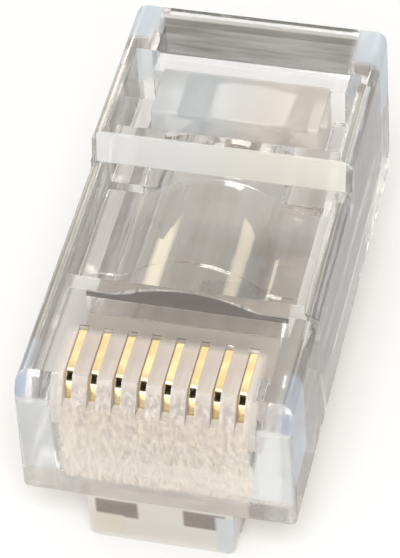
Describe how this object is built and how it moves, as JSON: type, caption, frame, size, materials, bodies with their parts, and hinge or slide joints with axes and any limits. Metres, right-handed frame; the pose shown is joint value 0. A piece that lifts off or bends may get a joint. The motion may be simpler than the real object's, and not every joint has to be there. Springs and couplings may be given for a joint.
{
  "type": "modular plug",
  "caption": "Clear modular plug with gold-plated contact blades, a sprung latch and a jacket clamp, not yet crimped.",
  "frame": {"origin": "middle of the nose's lower edge, on the underside of the body", "axes": "+X across the plug, +Y from the nose to the cable entry, +Z to the contact side"},
  "size_m": [0.0116, 0.0215, 0.0116],
  "materials": {
    "clear_housing": "clear moulded polycarbonate, polished, colourless with a faint grey cast",
    "gold_plating": "bright gold plating on phosphor bronze"
  },
  "bodies": {
    "housing": {"housing": "clear_housing"},
    "latch": {"latch": "clear_housing"},
    "jacket_clamp": {"jacket_clamp": "clear_housing"},
    "contact_1": {"contact_1": "gold_plating"},
    "contact_2": {"contact_2": "gold_plating"},
    "contact_3": {"contact_3": "gold_plating"},
    "contact_4": {"contact_4": "gold_plating"},
    "contact_5": {"contact_5": "gold_plating"},
    "contact_6": {"contact_6": "gold_plating"},
    "contact_7": {"contact_7": "gold_plating"},
    "contact_8": {"contact_8": "gold_plating"}
  },
  "joints": [
    {"name": "latch_flex", "type": "hinge", "parent": "housing", "child": "latch", "pos_m": [0, 0.0013, -0.00175], "axis": [1, 0, 0], "range_deg": [0, 10], "stiffness_Nm_per_rad": 0.4},
    {"name": "clamp_crimp", "type": "hinge", "parent": "housing", "child": "jacket_clamp", "pos_m": [0, 0.01865, 0.00675], "axis": [1, 0, 0], "range_deg": [0, 28]},
    {"name": "contact_1_crimp", "type": "slide", "parent": "housing", "child": "contact_1", "axis": [0, 0, -1], "range_m": [0, 0.0005]},
    {"name": "contact_2_crimp", "type": "slide", "parent": "housing", "child": "contact_2", "axis": [0, 0, -1], "range_m": [0, 0.0005]},
    {"name": "contact_3_crimp", "type": "slide", "parent": "housing", "child": "contact_3", "axis": [0, 0, -1], "range_m": [0, 0.0005]},
    {"name": "contact_4_crimp", "type": "slide", "parent": "housing", "child": "contact_4", "axis": [0, 0, -1], "range_m": [0, 0.0005]},
    {"name": "contact_5_crimp", "type": "slide", "parent": "housing", "child": "contact_5", "axis": [0, 0, -1], "range_m": [0, 0.0005]},
    {"name": "contact_6_crimp", "type": "slide", "parent": "housing", "child": "contact_6", "axis": [0, 0, -1], "range_m": [0, 0.0005]},
    {"name": "contact_7_crimp", "type": "slide", "parent": "housing", "child": "contact_7", "axis": [0, 0, -1], "range_m": [0, 0.0005]},
    {"name": "contact_8_crimp", "type": "slide", "parent": "housing", "child": "contact_8", "axis": [0, 0, -1], "range_m": [0, 0.0005]}
  ]
}
